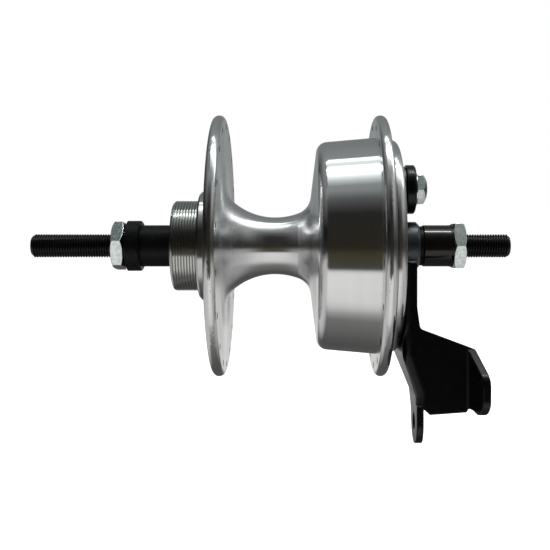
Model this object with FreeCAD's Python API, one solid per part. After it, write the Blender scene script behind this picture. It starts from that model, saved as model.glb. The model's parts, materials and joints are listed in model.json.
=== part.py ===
import FreeCAD, Part
import math
import os

# Rear hub with a 70 mm drum brake. The axle lies along X, freewheel side at -X and brake side at +X.
# The origin is on the axle line, in the middle of the brake-side spoke flange. Millimetres, +Z up.

# Axle and locknuts
over_locknuts = 135.0
brake_side_reach = 32.74
axle_dia = 9.0
axle_stub_left = 31.65
axle_stub_right = 17.76
axle_chamfer = 1.0
run_out_width = 0.8
run_out_depth = 0.4
nut_flats = 17.0
nut_width = 4.5
nut_turn_left = 11.6
thread_gap = 0.03

# Spacers and collars on the axle
spacer_dia = 16.0
spacer_nose_dia = 14.0
spacer_nose = 1.2
collar_dia = 19.4
collar_width = 6.4
collar_crown = 1.9
collar_crown_width = 1.0
collar_edge = 0.5
spacer_right_length = 11.4
spacer_lip_dia = 16.7
spacer_lip = 1.0
lock_ring_dia = 15.2
lock_ring_width = 1.5
plate_nut_dia = 18.5
plate_nut_chamfer = 1.1
sleeve_dia = 12.4

# Spoke flanges and barrel
spoke_edge = 4.25
flange_width = 4.2
flange_pitch = 61.0
flange_round = 2.0
spoke_circle_dia = 91.5
spoke_count = 18
spoke_hole_dia = 2.6
spoke_turn_right = -2.8
spoke_turn_left = 1.6
waist_dia = 22.0
waist_from_flange = 21.0
barrel_curve_left = 24.5
barrel_curve_right = 26.0
barrel_blend_left = 8.0
barrel_blend_right = 7.5
barrel_bore_dia = 14.0

# Brake drum
drum_bore_dia = 70.0
liner_wall = 2.5
liner_width = 21.5
drum_wall = 2.15
drum_depth = 21.66
drum_draft = 5.0
web_wall = 3.4
web_lean = 3.0
drum_corner = 4.2
mouth_lip = 0.9
mouth_lip_dia = 81.4
mouth_recess_dia = 77.4
mouth_recess = 1.7

# Freewheel boss
boss_thread_dia = 34.7
boss_thread_length = 9.6
boss_chamfer = 0.5
boss_relief = 0.5
boss_relief_depth = 0.9
shoulder_dia = 41.8
shoulder_width = 5.6
shoulder_chamfer = 0.8
boss_spigot_dia = 28.0
boss_spigot = 6.2
boss_mouth = 2.0

# Bearings, 9 x 26 x 8
bearing_dia = 26.0
bearing_width = 8.0
bearing_shoulder_dia = 21.0
ball_dia = 4.76
ball_count = 7
ball_gap = 0.07
inner_ring_dia = 14.4
outer_ring_bore = 20.6
groove_half = 2.0
groove_floor_half = 1.0
seal_wall = 0.4
seal_inset = 0.25
seal_gap = 0.15
cage_wall = 0.7
cage_depth = 1.3
cage_pin_dia = 1.7
bearing_boss_wall = 4.0
press_gap = 0.02

# Brake plate
plate_dia = 81.6
plate_wall = 3.2
plate_gap = 0.4
plate_corner = 2.7
plate_spigot_gap = 0.4
plate_spigot_wall = 1.4
plate_spigot = 1.5
plate_boss_dia = 24.0
plate_boss = 2.6
post_boss_dia = 19.0

# Shoes, anchor and cam
cam_height = 21.8
anchor_height = 24.0
anchor_pin_dia = 10.0
anchor_head_dia = 14.0
anchor_head = 2.2
pivot_gap = 0.08
shoe_width = 15.4
shoe_wall = 2.8
shoe_half_angle = 57.0
web_thick = 4.0
shoe_split = 0.8
shoe_pad_width = 13.0
shoe_pad_depth = 5.0
shoe_seat_wall = 2.6
lining_wall = 3.6
lining_half_angle = 53.0
lining_gap = 0.7
cam_thick = 7.0
cam_length = 10.0
cam_corner = 1.2
cam_gap = 0.15
spindle_dia = 10.0
spindle_flats = 7.0
spindle_square_dia = 8.8
spindle_thread_dia = 7.0
bush_dia = 14.0
bush_flange_dia = 17.4
bush_flange = 3.7
bush_gap = 0.05
spring_dia = 4.6
spring_wire = 1.0
spring_length = 17.0
spring_cam_gap = 1.5
spring_seat_gap = 0.5
spring_hook_reach = 16.6
spring_web_gap = 1.0

# Lever
lever_head_dia = 18.9
lever_wall = 3.5
lever_length = 54.0
lever_end_dia = 12.0
lever_edge = 0.9
lever_hole_dia = 6.2
lever_gap = 0.1
washer_dia = 12.6
washer_wall = 0.7
lever_nut_flats = 11.0
lever_nut_width = 4.5
lever_nut_dome_r = 9.5
spindle_short = 1.1
lever_nut_turn = -4.0

# Reaction arm, pressed from sheet
arm_wall = 2.5
arm_eye_dia = 18.0
arm_near = 26.0
arm_top = 5.6
arm_far = 14.0
arm_joggle = 4.74
arm_joggle_start = 40.0
arm_joggle_end = 54.2
arm_bend = 3.8
arm_kink = 3.5
arm_rim_reach = 4.94
arm_rim_end = 22.0
arm_rim_flare = 1.1
arm_rim_bend = 8.0
arm_strip_width = 16.0
arm_strip_end = 64.2
arm_strip_hole_dia = 6.2
tab_root_top = 29.75
tab_reach = 28.54
tab_end_top = 37.1
tab_end_bottom = 59.7
tab_root_bottom = 60.6
lip_bottom = 59.2
lip_corner = 6.0
lip_top_corner = 5.0
fold_relief = 1.0
lip_reach = 13.0
lip_slope = 8.9
lip_lean = 2.8
arm_stock = 20.0

X_AXIS = FreeCAD.Vector(1, 0, 0)
ORIGIN = FreeCAD.Vector(0, 0, 0)

# Places along the axle, worked out from the sizes above
flange_right = flange_width / 2
flange_left_in = -flange_pitch + flange_width / 2
flange_left_out = -flange_pitch - flange_width / 2
waist_x = -flange_pitch + waist_from_flange
nut_right_out = brake_side_reach
nut_right_in = nut_right_out - nut_width
nut_left_out = brake_side_reach - over_locknuts
nut_left_in = nut_left_out + nut_width
collar_end = nut_left_in + collar_width
boss_in = flange_left_out
thread_end = boss_in - shoulder_width - boss_relief
boss_out = thread_end - boss_thread_length
left_bearing_out = boss_out + boss_mouth
left_bearing_in = left_bearing_out + bearing_width
web_x = -flange_width / 2 - drum_depth
web_inner_x = web_x + web_wall
neck_end_x = web_x - web_lean
right_bearing_in = neck_end_x + 1.5
right_bearing_out = right_bearing_in + bearing_width
mouth_x = flange_right + mouth_lip
plate_in = mouth_x + plate_gap
plate_out = plate_in + plate_wall
plate_boss_in = plate_in - plate_boss
arm_out = plate_out + arm_wall
spacer_right_in = nut_right_in - spacer_right_length
lock_ring_in = spacer_right_in - lock_ring_width
bush_out = plate_out + bush_flange
lever_in = bush_out + lever_gap
lever_out = lever_in + lever_wall
washer_out = lever_out + washer_wall
lever_nut_out = washer_out + lever_nut_width
shoe_out = plate_boss_in - 1.2
shoe_in = shoe_out - shoe_width
shoe_mid = (shoe_out + shoe_in) / 2
liner_out = mouth_x - mouth_recess
liner_in = liner_out - liner_width

# Heights of the two return springs above and below the axle
spring_upper_height = cam_height - cam_length / 2 - spring_cam_gap - spring_dia / 2
spring_lower_height = anchor_height - anchor_pin_dia / 2 - shoe_seat_wall - spring_seat_gap - spring_dia / 2
spring_far = max(spring_upper_height, spring_lower_height) + spring_dia / 2

# Radii shared by neighbouring pieces
axle_bore_r = axle_dia / 2 + thread_gap
flange_rim_r = spoke_circle_dia / 2 + spoke_edge
liner_r = drum_bore_dia / 2 + liner_wall
lining_r = drum_bore_dia / 2 - lining_gap
table_r = lining_r - lining_wall
web_inner_r = math.hypot(spring_length / 2, spring_far) + spring_web_gap
ball_circle_r = (inner_ring_dia + outer_ring_bore) / 4
race_r = ball_dia / 2 + ball_gap


def on_side(u, v):
    """Point of a turned outline: u along the axle, v the radius."""
    return FreeCAD.Vector(u, v, 0)


def on_front(u, v):
    """Point of an outline seen from the side: u along X, v along Z."""
    return FreeCAD.Vector(u, 0, v)


def on_end(u, v):
    """Point of an outline seen along the axle: u along Y, v along Z."""
    return FreeCAD.Vector(0, u, v)


def on_plan(u, v):
    """Point of an outline seen from above: u along X, v along Y."""
    return FreeCAD.Vector(u, v, 0)


def rounded_face(corners, place):
    """Flat face through corners (u, v) or (u, v, radius), each radius a tangent arc."""
    stops = []
    count = len(corners)
    for i in range(count):
        here = FreeCAD.Vector(corners[i][0], corners[i][1], 0)
        radius = corners[i][2] if len(corners[i]) > 2 else 0
        if radius <= 0:
            stops.append((here, None, here))
            continue
        before = corners[i - 1]
        after = corners[(i + 1) % count]
        a = (FreeCAD.Vector(before[0], before[1], 0) - here).normalize()
        b = (FreeCAD.Vector(after[0], after[1], 0) - here).normalize()
        half = a.getAngle(b) / 2
        reach = radius / math.tan(half)
        middle = (a + b).normalize()
        centre = here + middle * (radius / math.sin(half))
        stops.append((here + a * reach, centre - middle * radius, here + b * reach))
    edges = []
    for i in range(count):
        start, crown, end = stops[i]
        if crown is not None:
            edges.append(Part.Arc(*[place(p.x, p.y) for p in (start, crown, end)]).toShape())
        onward = stops[(i + 1) % count][0]
        if (onward - end).Length > 1e-5:
            edges.append(Part.LineSegment(place(end.x, end.y), place(onward.x, onward.y)).toShape())
    return Part.Face(Part.Wire(edges))


def turned(corners):
    """Solid of revolution about the axle from an outline of (x, radius) corners."""
    return rounded_face(corners, on_side).revolve(ORIGIN, X_AXIS, 360)


def disc(x0, x1, radius, y=0.0, z=0.0):
    """Cylinder along X from x0 to x1."""
    return Part.makeCylinder(radius, x1 - x0, FreeCAD.Vector(x0, y, z), X_AXIS)


def tube(x0, x1, outer_r, inner_r, edge=0.0, y=0.0, z=0.0):
    """Ring along X with an optional chamfer on both outer edges."""
    outer = turned([(x0, 0), (x0, outer_r - edge), (x0 + edge, outer_r),
                    (x1 - edge, outer_r), (x1, outer_r - edge), (x1, 0)])
    ring = outer.cut(disc(x0 - 1, x1 + 1, inner_r))
    ring.translate(FreeCAD.Vector(0, y, z))
    return ring


def extruded_x(corners, x0, x1):
    """Prism along X of an outline in (y, z)."""
    prism = rounded_face(corners, on_end).extrude(FreeCAD.Vector(x1 - x0, 0, 0))
    prism.translate(FreeCAD.Vector(x0, 0, 0))
    return prism


def extruded_y(corners, y0, y1):
    """Prism along Y of an outline in (x, z)."""
    prism = rounded_face(corners, on_front).extrude(FreeCAD.Vector(0, y1 - y0, 0))
    prism.translate(FreeCAD.Vector(0, y0, 0))
    return prism


def extruded_z(corners, z0, z1):
    """Prism along Z of an outline in (x, y)."""
    prism = rounded_face(corners, on_plan).extrude(FreeCAD.Vector(0, 0, z1 - z0))
    prism.translate(FreeCAD.Vector(0, 0, z0))
    return prism


def block(x0, x1, y0, y1, z0, z1):
    """Box between two corners."""
    return Part.makeBox(x1 - x0, y1 - y0, z1 - z0, FreeCAD.Vector(x0, y0, z0))


def round_edges(shape, x, radius, blend):
    """Fillet the circular edges of the given radius at x."""
    found = []
    for edge in shape.Edges:
        curve = edge.Curve
        if isinstance(curve, Part.Circle) and abs(curve.Radius - radius) < 1e-3:
            if abs(curve.Center.x - x) < 1e-3:
                found.append(edge)
    return shape.makeFillet(blend, found)


def ring_of(piece, count, turn=0.0):
    """Copies of a piece spread evenly round the axle."""
    copies = []
    for i in range(count):
        copy = piece.copy()
        copy.rotate(ORIGIN, X_AXIS, turn + i * 360.0 / count)
        copies.append(copy)
    return copies


def hexagon(flats, x0, x1, turn, y=0.0, z=0.0, edge=0.0):
    """Hexagon prism along X, its corners cut back by a cone at both ends."""
    corner_r = flats / 2 / math.cos(math.radians(30))
    corners = []
    for i in range(6):
        angle = math.radians(180 - turn + 60 * i)
        corners.append((corner_r * math.cos(angle), corner_r * math.sin(angle)))
    prism = extruded_x(corners, x0, x1)
    slope = edge * 1.6
    cone = turned([(x0, 0), (x0, corner_r - slope), (x0 + edge, corner_r + 0.01),
                   (x1 - edge, corner_r + 0.01), (x1, corner_r - slope), (x1, 0)])
    nut = prism.common(cone)
    nut.translate(FreeCAD.Vector(0, y, z))
    return nut


def axle():
    """Threaded at both ends, each thread ending in a shallow groove under its locknut's outer face."""
    r = axle_dia / 2
    floor_r = r - run_out_depth
    x0 = nut_left_out - axle_stub_left
    x1 = nut_right_out + axle_stub_right
    corners = [(x0, 0), (x0, r - axle_chamfer), (x0 + axle_chamfer, r)]
    for x in (nut_left_out, nut_right_out - run_out_width):
        corners += [(x, r), (x, floor_r), (x + run_out_width, floor_r), (x + run_out_width, r)]
    return turned(corners + [(x1 - axle_chamfer, r), (x1, r - axle_chamfer), (x1, 0)])


def locknut(x0, turn):
    nut = hexagon(nut_flats, x0, x0 + nut_width, turn, edge=0.75)
    return nut.cut(disc(x0 - 1, x0 + nut_width + 1, axle_bore_r))


def nosed_spacer(x0, x1, nose_at_start, nose_at_end):
    """Spacer tube that steps down where it bears on a bearing's inner ring."""
    r = spacer_dia / 2
    nose_r = spacer_nose_dia / 2
    corners = [(x0, axle_bore_r)]
    if nose_at_start:
        corners += [(x0, nose_r), (x0 + spacer_nose, nose_r), (x0 + spacer_nose, r)]
    else:
        corners += [(x0, r)]
    if nose_at_end:
        corners += [(x1 - spacer_nose, r), (x1 - spacer_nose, nose_r), (x1, nose_r)]
    else:
        corners += [(x1, r)]
    corners += [(x1, axle_bore_r)]
    return turned(corners)


def spacer_right():
    """Polished spacer, rolled slightly outward where the locknut bears."""
    r = spacer_dia / 2
    x0 = spacer_right_in
    x1 = nut_right_in
    return turned([(x0, axle_bore_r), (x0, r - 0.3), (x0 + 0.3, r), (x1 - spacer_lip, r, 0.8),
                   (x1, spacer_lip_dia / 2), (x1, axle_bore_r)])


def collar_left():
    """Collar with a crowned outer end beside the locknut."""
    r = collar_dia / 2
    return turned([(nut_left_in, axle_bore_r), (nut_left_in, r - collar_crown),
                   (nut_left_in + collar_crown_width, r), (collar_end - collar_edge, r),
                   (collar_end, r - collar_edge), (collar_end, axle_bore_r)])


def plate_nut():
    x0 = arm_out
    x1 = lock_ring_in
    r = plate_nut_dia / 2
    c = plate_nut_chamfer
    return turned([(x0, axle_bore_r), (x0, r - 0.4), (x0 + 0.4, r), (x1 - c, r), (x1, r - c), (x1, axle_bore_r)])


def barrel_radius(x):
    """Outer radius of the waisted barrel at x."""
    curve = barrel_curve_left if x < waist_x else barrel_curve_right
    return waist_dia / 2 + curve - math.sqrt(curve ** 2 - (x - waist_x) ** 2)


def shell_outline():
    """Edges of the shell's turned outline, from the freewheel side round to the drum mouth."""
    drum_in_r = liner_r + drum_wall
    slope = math.tan(math.radians(drum_draft))
    drum_out_r = drum_in_r + slope * drum_depth
    neck_left_r = barrel_radius(flange_left_in)
    neck_right_r = barrel_radius(neck_end_x)
    rim_r = flange_rim_r
    lip_r = mouth_lip_dia / 2
    recess_r = mouth_recess_dia / 2
    boss_r = bearing_dia / 2 + bearing_boss_wall
    bearing_r = bearing_dia / 2 + press_gap
    bore_r = barrel_bore_dia / 2
    shoulder_r = bearing_shoulder_dia / 2
    spigot_r = boss_spigot_dia / 2 + press_gap
    spigot_end = flange_left_out + boss_spigot
    web_foot_x = neck_end_x + web_wall
    straight = [(flange_left_in, neck_left_r), (flange_left_in, rim_r), (flange_left_out, rim_r),
                (flange_left_out, spigot_r), (spigot_end, spigot_r), (spigot_end, bore_r),
                (right_bearing_in - 1.0, bore_r), (right_bearing_in - 1.0, shoulder_r),
                (right_bearing_in, shoulder_r), (right_bearing_in, bearing_r),
                (right_bearing_out + 0.5, bearing_r), (right_bearing_out + 0.5, boss_r),
                (web_foot_x, boss_r), (web_inner_x, liner_r + press_gap),
                (liner_out, liner_r + press_gap), (liner_out, recess_r), (mouth_x, recess_r),
                (mouth_x, lip_r), (flange_right, lip_r), (flange_right, rim_r),
                (-flange_right, rim_r), (-flange_right, drum_out_r), (web_x, drum_in_r),
                (neck_end_x, neck_right_r)]
    edges = []
    for a, b in zip(straight, straight[1:]):
        edges.append(Part.LineSegment(on_side(*a), on_side(*b)).toShape())
    mid_right = (waist_x + neck_end_x) / 2
    mid_left = (waist_x + flange_left_in) / 2
    waist = on_side(waist_x, waist_dia / 2)
    edges.append(Part.Arc(on_side(*straight[-1]), on_side(mid_right, barrel_radius(mid_right)), waist).toShape())
    edges.append(Part.Arc(waist, on_side(mid_left, barrel_radius(mid_left)), on_side(*straight[0])).toShape())
    return edges


def hub_shell():
    """Shell turned in one piece: left flange, waisted barrel, drum and right flange."""
    face = Part.Face(Part.Wire(shell_outline()))
    shell = face.revolve(ORIGIN, X_AXIS, 360)
    for x in (flange_left_in, flange_left_out, flange_right, -flange_right):
        shell = round_edges(shell, x, flange_rim_r, flange_round)
    shell = round_edges(shell, flange_left_in, barrel_radius(flange_left_in), barrel_blend_left)
    shell = round_edges(shell, neck_end_x, barrel_radius(neck_end_x), barrel_blend_right)
    shell = round_edges(shell, web_x, liner_r + drum_wall, drum_corner)
    hole_z = spoke_circle_dia / 2
    right = disc(-flange_width, flange_width, spoke_hole_dia / 2, z=hole_z)
    left = disc(-flange_pitch - flange_width, -flange_pitch + flange_width, spoke_hole_dia / 2, z=hole_z)
    holes = ring_of(right, spoke_count, spoke_turn_right) + ring_of(left, spoke_count, spoke_turn_left)
    return shell.cut(holes)


def freewheel_sleeve():
    """Steel boss: freewheel thread, relief, shoulder ring and the spigot that is pressed into the shell."""
    thread_r = boss_thread_dia / 2
    shoulder_r = shoulder_dia / 2
    spigot_r = boss_spigot_dia / 2
    seat_r = bearing_dia / 2 + press_gap
    step_r = bearing_shoulder_dia / 2
    c = boss_chamfer
    s = shoulder_chamfer
    shoulder_x = boss_in - shoulder_width
    return turned([(boss_out, seat_r + c), (boss_out, thread_r - c), (boss_out + c, thread_r),
                   (thread_end, thread_r), (thread_end, thread_r - boss_relief_depth),
                   (shoulder_x, thread_r - boss_relief_depth), (shoulder_x, shoulder_r - s),
                   (shoulder_x + s, shoulder_r), (boss_in, shoulder_r), (boss_in, spigot_r),
                   (boss_in + boss_spigot, spigot_r), (boss_in + boss_spigot, step_r),
                   (left_bearing_in, step_r), (left_bearing_in, seat_r), (boss_out + c, seat_r)])


def brake_liner():
    """Iron ring that the linings press on."""
    return tube(liner_in, liner_out, liner_r, drum_bore_dia / 2)


def bearing_inner(x0):
    mid = x0 + bearing_width / 2
    r = inner_ring_dia / 2
    floor_r = ball_circle_r - race_r
    return turned([(x0, axle_bore_r), (x0, r), (mid - groove_half, r), (mid - groove_floor_half, floor_r),
                   (mid + groove_floor_half, floor_r), (mid + groove_half, r),
                   (x0 + bearing_width, r), (x0 + bearing_width, axle_bore_r)])


def bearing_outer(x0):
    mid = x0 + bearing_width / 2
    r = outer_ring_bore / 2
    floor_r = ball_circle_r + race_r
    out_r = bearing_dia / 2
    return turned([(x0, out_r), (x0, r), (mid - groove_half, r), (mid - groove_floor_half, floor_r),
                   (mid + groove_floor_half, floor_r), (mid + groove_half, r),
                   (x0 + bearing_width, r), (x0 + bearing_width, out_r)])


def seals(x0):
    """The two shields of one bearing."""
    inner_r = inner_ring_dia / 2 + seal_gap
    outer_r = outer_ring_bore / 2
    first = x0 + seal_inset
    second = x0 + bearing_width - seal_inset - seal_wall
    return Part.makeCompound([tube(x, x + seal_wall, outer_r, inner_r) for x in (first, second)])


def faceted_ball(radius):
    """Ball as a geodesic solid of flat facets, its corners on the true sphere."""
    golden = (1 + math.sqrt(5)) / 2
    corners = []
    for a in (-1, 1):
        for b in (-golden, golden):
            corners += [FreeCAD.Vector(0, a, b), FreeCAD.Vector(a, b, 0), FreeCAD.Vector(b, 0, a)]
    facets = []
    for i in range(12):
        for j in range(i + 1, 12):
            for k in range(j + 1, 12):
                trio = [corners[i], corners[j], corners[k]]
                sides = [(trio[n] - trio[n - 1]).Length for n in range(3)]
                if max(sides) < 2.01:
                    facets += quartered(trio)
    faces = []
    for facet in facets:
        points = [FreeCAD.Vector(p).normalize() * radius for p in facet]
        faces.append(Part.Face(Part.makePolygon(points + [points[0]])))
    return Part.makeSolid(Part.makeShell(faces))


def quartered(trio):
    """The four triangles that join a triangle's corners and the middles of its sides."""
    a, b, c = trio
    ab = (a + b) * 0.5
    bc = (b + c) * 0.5
    ca = (c + a) * 0.5
    return [(a, ab, ca), (b, bc, ab), (c, ca, bc), (ab, bc, ca)]


def balls(x0):
    mid = x0 + bearing_width / 2
    ball = faceted_ball(ball_dia / 2)
    ball.translate(FreeCAD.Vector(mid, 0, ball_circle_r))
    return Part.makeCompound(ring_of(ball, ball_count))


def cage(x0, side):
    """Crown cage: a ring beside the balls with a finger between each two."""
    mid = x0 + bearing_width / 2
    near = ball_dia / 2 + ball_gap
    half = cage_depth / 2
    ring = tube(0, cage_wall, ball_circle_r + half, ball_circle_r - half)
    ring.translate(FreeCAD.Vector(near, 0, 0))
    pin = disc(-near, near + cage_wall / 2, cage_pin_dia / 2, z=ball_circle_r)
    crown = ring.fuse(ring_of(pin, ball_count, 180.0 / ball_count)).removeSplitter()
    if side < 0:
        crown.rotate(ORIGIN, FreeCAD.Vector(0, 0, 1), 180)
    crown.translate(FreeCAD.Vector(mid, 0, 0))
    return crown


def brake_plate():
    """Dished cover of the drum with a labyrinth spigot and bosses for axle, cam and anchor."""
    r = plate_dia / 2
    spigot_out = mouth_recess_dia / 2 - plate_spigot_gap
    spigot_in = spigot_out - plate_spigot_wall
    body = turned([(plate_in, 0), (plate_in, spigot_in), (plate_in - plate_spigot, spigot_in),
                   (plate_in - plate_spigot, spigot_out), (plate_in, spigot_out), (plate_in, r),
                   (plate_out, r, plate_corner), (plate_out, 0)])
    bosses = [disc(plate_boss_in, plate_in + 0.5, plate_boss_dia / 2),
              disc(plate_boss_in, plate_in + 0.5, post_boss_dia / 2, z=cam_height),
              disc(plate_boss_in, plate_in + 0.5, post_boss_dia / 2, z=-anchor_height)]
    body = body.fuse(bosses)
    cuts = [disc(plate_boss_in - 1, plate_out + 1, axle_bore_r),
            disc(plate_boss_in - 1, plate_out + 1, bush_dia / 2 + press_gap, z=cam_height),
            disc(plate_boss_in - 1, plate_out + 1, anchor_pin_dia / 2 + press_gap, z=-anchor_height)]
    return body.cut(cuts).removeSplitter()


def cam_bush():
    bush = turned([(plate_boss_in, spindle_dia / 2 + bush_gap), (plate_boss_in, bush_dia / 2),
                   (plate_out, bush_dia / 2), (plate_out, bush_flange_dia / 2),
                   (bush_out, bush_flange_dia / 2, 0.6), (bush_out, spindle_dia / 2 + bush_gap)])
    bush.translate(FreeCAD.Vector(0, 0, cam_height))
    return bush


def anchor_pin():
    """Shoe pivot, its tail riveted over the reaction arm."""
    r = anchor_pin_dia / 2
    pin = turned([(shoe_in, 0), (shoe_in, r - 0.6), (shoe_in + 0.6, r), (arm_out, r),
                  (arm_out, anchor_head_dia / 2), (arm_out + anchor_head, anchor_head_dia / 2, 1.8),
                  (arm_out + anchor_head, 0)])
    pin.translate(FreeCAD.Vector(0, 0, -anchor_height))
    return pin


def cam_block(x0, x1):
    half_y = cam_thick / 2
    half_z = cam_length / 2
    c = cam_corner
    corners = [(-half_y, cam_height - half_z, c), (half_y, cam_height - half_z, c),
               (half_y, cam_height + half_z, c), (-half_y, cam_height + half_z, c)]
    return extruded_x(corners, x0, x1)


def spindle_neck(x0, x1, gap):
    """Flatted neck of the spindle that the lever fits over."""
    neck = disc(x0, x1, spindle_square_dia / 2 + gap, z=cam_height)
    half = spindle_flats / 2 + gap
    keep = block(x0, x1, -spindle_dia, spindle_dia, cam_height - half, cam_height + half)
    return neck.common(keep)


def brake_cam():
    """Two-sided cam and its spindle, out through plate and lever."""
    spindle_in = plate_boss_in - 0.3
    parts = [cam_block(shoe_in, spindle_in), disc(spindle_in, lever_in, spindle_dia / 2, z=cam_height),
             spindle_neck(lever_in, lever_out, 0),
             disc(lever_out, lever_nut_out - spindle_short, spindle_thread_dia / 2, z=cam_height)]
    cam = parts[0]
    for part in parts[1:]:
        cam = cam.fuse(part)
    return cam.removeSplitter()


def half_ring(x0, x1, outer_r, inner_r, half_angle, side):
    """Sector of a ring centred on the +Y or -Y side."""
    section = rounded_face([(x0, inner_r), (x1, inner_r), (x1, outer_r), (x0, outer_r)], on_side)
    ring = section.revolve(ORIGIN, X_AXIS, 2 * half_angle)
    ring.rotate(ORIGIN, X_AXIS, -half_angle if side > 0 else 180 - half_angle)
    return ring


def shoe(side):
    """Cast shoe of T section with a flat pad at the cam and a half-round seat on the anchor pin."""
    table = half_ring(shoe_in, shoe_out, table_r, table_r - shoe_wall, shoe_half_angle, side)
    web = half_ring(shoe_mid - web_thick / 2, shoe_mid + web_thick / 2,
                    table_r - shoe_wall + 0.5, web_inner_r, 89.0, side)
    far_r = 1.2 * table_r
    cam_face = cam_thick / 2 + cam_gap
    split = shoe_split / 2
    lows = sorted((side * split, side * far_r))
    web = web.common(block(shoe_in, shoe_out, lows[0], lows[1], -far_r, far_r))
    ups = sorted((0, side * cam_face))
    web = web.cut(block(shoe_in, shoe_out, ups[0], ups[1], 0, far_r))
    pad_ys = sorted((side * cam_face, side * (cam_face + shoe_pad_depth)))
    pad_low = cam_height - cam_length / 2
    pad = block(shoe_mid - shoe_pad_width / 2, shoe_mid + shoe_pad_width / 2, pad_ys[0], pad_ys[1],
                pad_low, table_r - shoe_wall - 0.6)
    seat_ys = sorted((side * split, side * (split + anchor_pin_dia)))
    seat = disc(shoe_mid - shoe_pad_width / 2, shoe_mid + shoe_pad_width / 2,
                anchor_pin_dia / 2 + shoe_seat_wall, z=-anchor_height)
    seat = seat.common(block(shoe_in, shoe_out, seat_ys[0], seat_ys[1], -far_r, 0))
    seat = seat.common(disc(shoe_in, shoe_out, table_r))
    body = table.fuse([web, pad, seat])
    hook_r = spring_wire / 2 + 0.2
    cuts = [disc(shoe_in - 1, shoe_out + 1, anchor_pin_dia / 2 + pivot_gap, z=-anchor_height)]
    for height in (spring_upper_height, -spring_lower_height):
        cuts.append(disc(shoe_mid - web_thick, shoe_mid + web_thick, hook_r,
                         y=side * spring_hook_reach, z=height))
    return body.cut(cuts).removeSplitter()


def lining(side):
    return half_ring(shoe_in, shoe_out, lining_r, table_r, lining_half_angle, side)


def return_spring(height):
    """Close-wound spring across the shoes, its hooks through the two webs."""
    r = spring_dia / 2
    wire_r = spring_wire / 2
    half = spring_length / 2
    along = FreeCAD.Vector(0, 1, 0)
    body = Part.makeCylinder(r, spring_length, FreeCAD.Vector(0, -half, 0), along)
    body = body.cut(Part.makeCylinder(r - spring_wire, spring_length - 2 * spring_wire,
                                      FreeCAD.Vector(0, -half + spring_wire, 0), along))
    parts = []
    side_x = web_thick / 2 + wire_r + 0.3
    for side in (1, -1):
        stem_end = side * spring_hook_reach
        length = spring_hook_reach - half + spring_wire
        start = FreeCAD.Vector(side_x, min(side * (half - spring_wire), stem_end), 0)
        parts.append(Part.makeCylinder(wire_r, length, start, along))
        parts.append(disc(-side_x, side_x, wire_r, y=stem_end))
        parts.append(Part.makeSphere(wire_r, FreeCAD.Vector(side_x, stem_end, 0)))
        neck_ys = sorted((side * (half - spring_wire), side * half))
        parts.append(block(-wire_r, side_x, neck_ys[0], neck_ys[1], -wire_r, wire_r))
    spring = body.fuse(parts).removeSplitter()
    spring.translate(FreeCAD.Vector(shoe_mid, 0, height))
    return spring


def brake_lever():
    """Flat lever: round head on the spindle, tapering to a drilled end."""
    head_r = lever_head_dia / 2
    end_r = lever_end_dia / 2
    taper = math.asin((head_r - end_r) / lever_length)
    c = math.cos(taper)
    s = math.sin(taper)
    z = cam_height
    arm = extruded_x([(head_r * s, z + head_r * c), (lever_length + end_r * s, z + end_r * c),
                      (lever_length + end_r * s, z - end_r * c), (head_r * s, z - head_r * c)], lever_in, lever_out)
    head = disc(lever_in, lever_out, head_r, z=z)
    tip = disc(lever_in, lever_out, end_r, y=lever_length, z=z)
    lever = arm.fuse([head, tip]).removeSplitter()
    rims = []
    for edge in lever.Edges:
        box = edge.BoundBox
        if abs(box.XMin - lever_out) < 1e-4 and abs(box.XMax - lever_out) < 1e-4:
            rims.append(edge)
    lever = lever.makeFillet(lever_edge, rims)
    lever = lever.cut(spindle_neck(lever_in - 1, lever_out + 1, 0.03))
    return lever.cut(disc(lever_in - 1, lever_out + 1, lever_hole_dia / 2, y=lever_length, z=z))


def lever_washer():
    return tube(lever_out, washer_out, washer_dia / 2, spindle_thread_dia / 2 + thread_gap, z=cam_height)


def lever_nut():
    """Hexagon nut with a domed outer end."""
    x0 = washer_out
    x1 = lever_nut_out
    nut = hexagon(lever_nut_flats, x0, x1, lever_nut_turn, z=cam_height, edge=0.01)
    dome = Part.makeSphere(lever_nut_dome_r, FreeCAD.Vector(x1 - lever_nut_dome_r, 0, cam_height))
    return nut.common(dome).cut(disc(x0 - 1, x1 + 1, spindle_thread_dia / 2 + thread_gap, z=cam_height))


def arm_block(inset):
    """Solid whose -X and -Y sides are the pressed sheet's outer faces, moved in by inset."""
    x0 = plate_out + inset
    x1 = plate_out + arm_joggle + inset
    lean = math.atan2(arm_joggle, arm_joggle_end - arm_joggle_start)
    shift = inset * math.tan(lean / 2)
    top = arm_eye_dia
    bottom = -tab_root_bottom - arm_stock
    far_x = plate_out + tab_reach + arm_stock
    solid = extruded_y([(x0, top), (x0, -arm_joggle_start - shift, arm_kink + arm_wall - inset),
                        (x1, -arm_joggle_end - shift, arm_kink + inset), (x1, bottom),
                        (far_x, bottom), (far_x, top)], -arm_near + inset, arm_far + arm_stock)
    chain = []
    for edge in solid.Edges:
        box = edge.BoundBox
        if abs(box.YMin - box.YMax) < 1e-4 and abs(box.YMin + arm_near - inset) < 1e-4:
            if box.XMax < x1 + 0.01 and box.ZLength > 0.01:
                chain.append(edge)
    return solid.makeFillet(arm_bend - inset, chain)


def arm_sheet_outline():
    """Outline of the arm seen along the axle, from the near top corner round by the far side."""
    near = -arm_near
    strip_far = near + arm_strip_width
    eye_r = arm_eye_dia / 2
    return [(near, -arm_top, 2.0), (-eye_r, -1.0, 6.0), (eye_r, -1.0, 2.0), (arm_far, -arm_top * 3, 12.0),
            (arm_far, -arm_joggle_start, 5.0), (strip_far + 7.0, -arm_joggle_end, 6.0),
            (strip_far, -arm_strip_end + 3.0, 8.0), (strip_far, -arm_strip_end), (near, -arm_strip_end)]


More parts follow.
